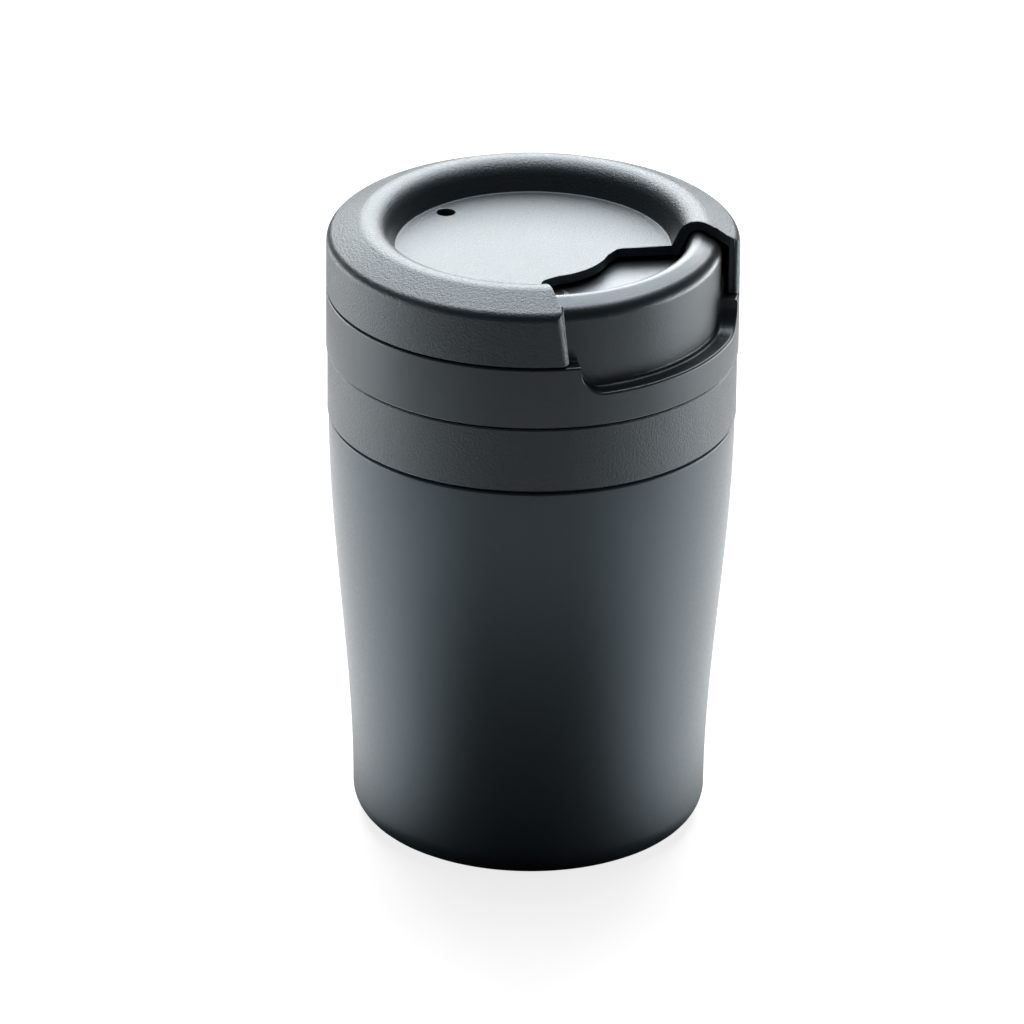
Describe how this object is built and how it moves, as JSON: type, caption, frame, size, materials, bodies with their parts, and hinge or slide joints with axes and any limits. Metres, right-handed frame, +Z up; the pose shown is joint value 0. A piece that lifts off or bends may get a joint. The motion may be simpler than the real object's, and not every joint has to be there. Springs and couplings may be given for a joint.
{
  "type": "insulated tumbler",
  "caption": "Short double-walled travel tumbler with a flared ogee body, a threaded collar, a screw-on lid and a turning cap with a cut-out that uncovers the drinking rim.",
  "frame": {"origin": "centre of the cup's base, on the surface it stands on", "axes": "+Z up the cup's axis to the lid; the picture is taken from -Y, and the cap's cut-out faces between -Y and +X"},
  "size_m": [0.078, 0.078, 0.1225],
  "materials": {
    "shell_paint": "satin",
    "steel": "brushed",
    "grained_plastic": "fine grain",
    "satin_plastic": "satin",
    "silicone": "matte",
    "sealing_glass": "glossy",
    "getter_alloy": "sintered"
  },
  "bodies": {
    "cup": {"outer_shell": "shell_paint", "shell_bottom": "steel", "base_cover": "steel", "vacuum_seal": "sealing_glass", "getter": "getter_alloy", "inner_liner": "steel", "neck_seal": "silicone", "collar": "grained_plastic"},
    "gasket": {"lid_gasket": "silicone"},
    "lid": {"lid_body": "satin_plastic", "lid_plug": "satin_plastic"},
    "cap": {"turn_cap": "grained_plastic", "drink_seal": "silicone", "vent_seal": "silicone", "pivot_oring": "silicone", "wave_spring": "steel", "pivot_washer": "steel", "pivot_screw": "steel"}
  },
  "joints": [
    {"name": "lid_lift", "type": "slide", "parent": "cup", "child": "gasket", "axis": [0, 0, 1], "range_m": [0, 0.01801]},
    {"name": "lid_turn", "type": "hinge", "parent": "gasket", "child": "lid", "pos_m": [0, 0, 0.09675], "axis": [0, 0, 1], "range_deg": [0, 540]},
    {"name": "cap_turn", "type": "hinge", "parent": "lid", "child": "cap", "pos_m": [0, 0, 0.10915], "axis": [0, 0, 1], "range_deg": [-90, 0]}
  ],
  "couplings": [
    {"joint": "lid_lift", "follows": "lid_turn", "m_per_rad": 0.0019099}
  ]
}
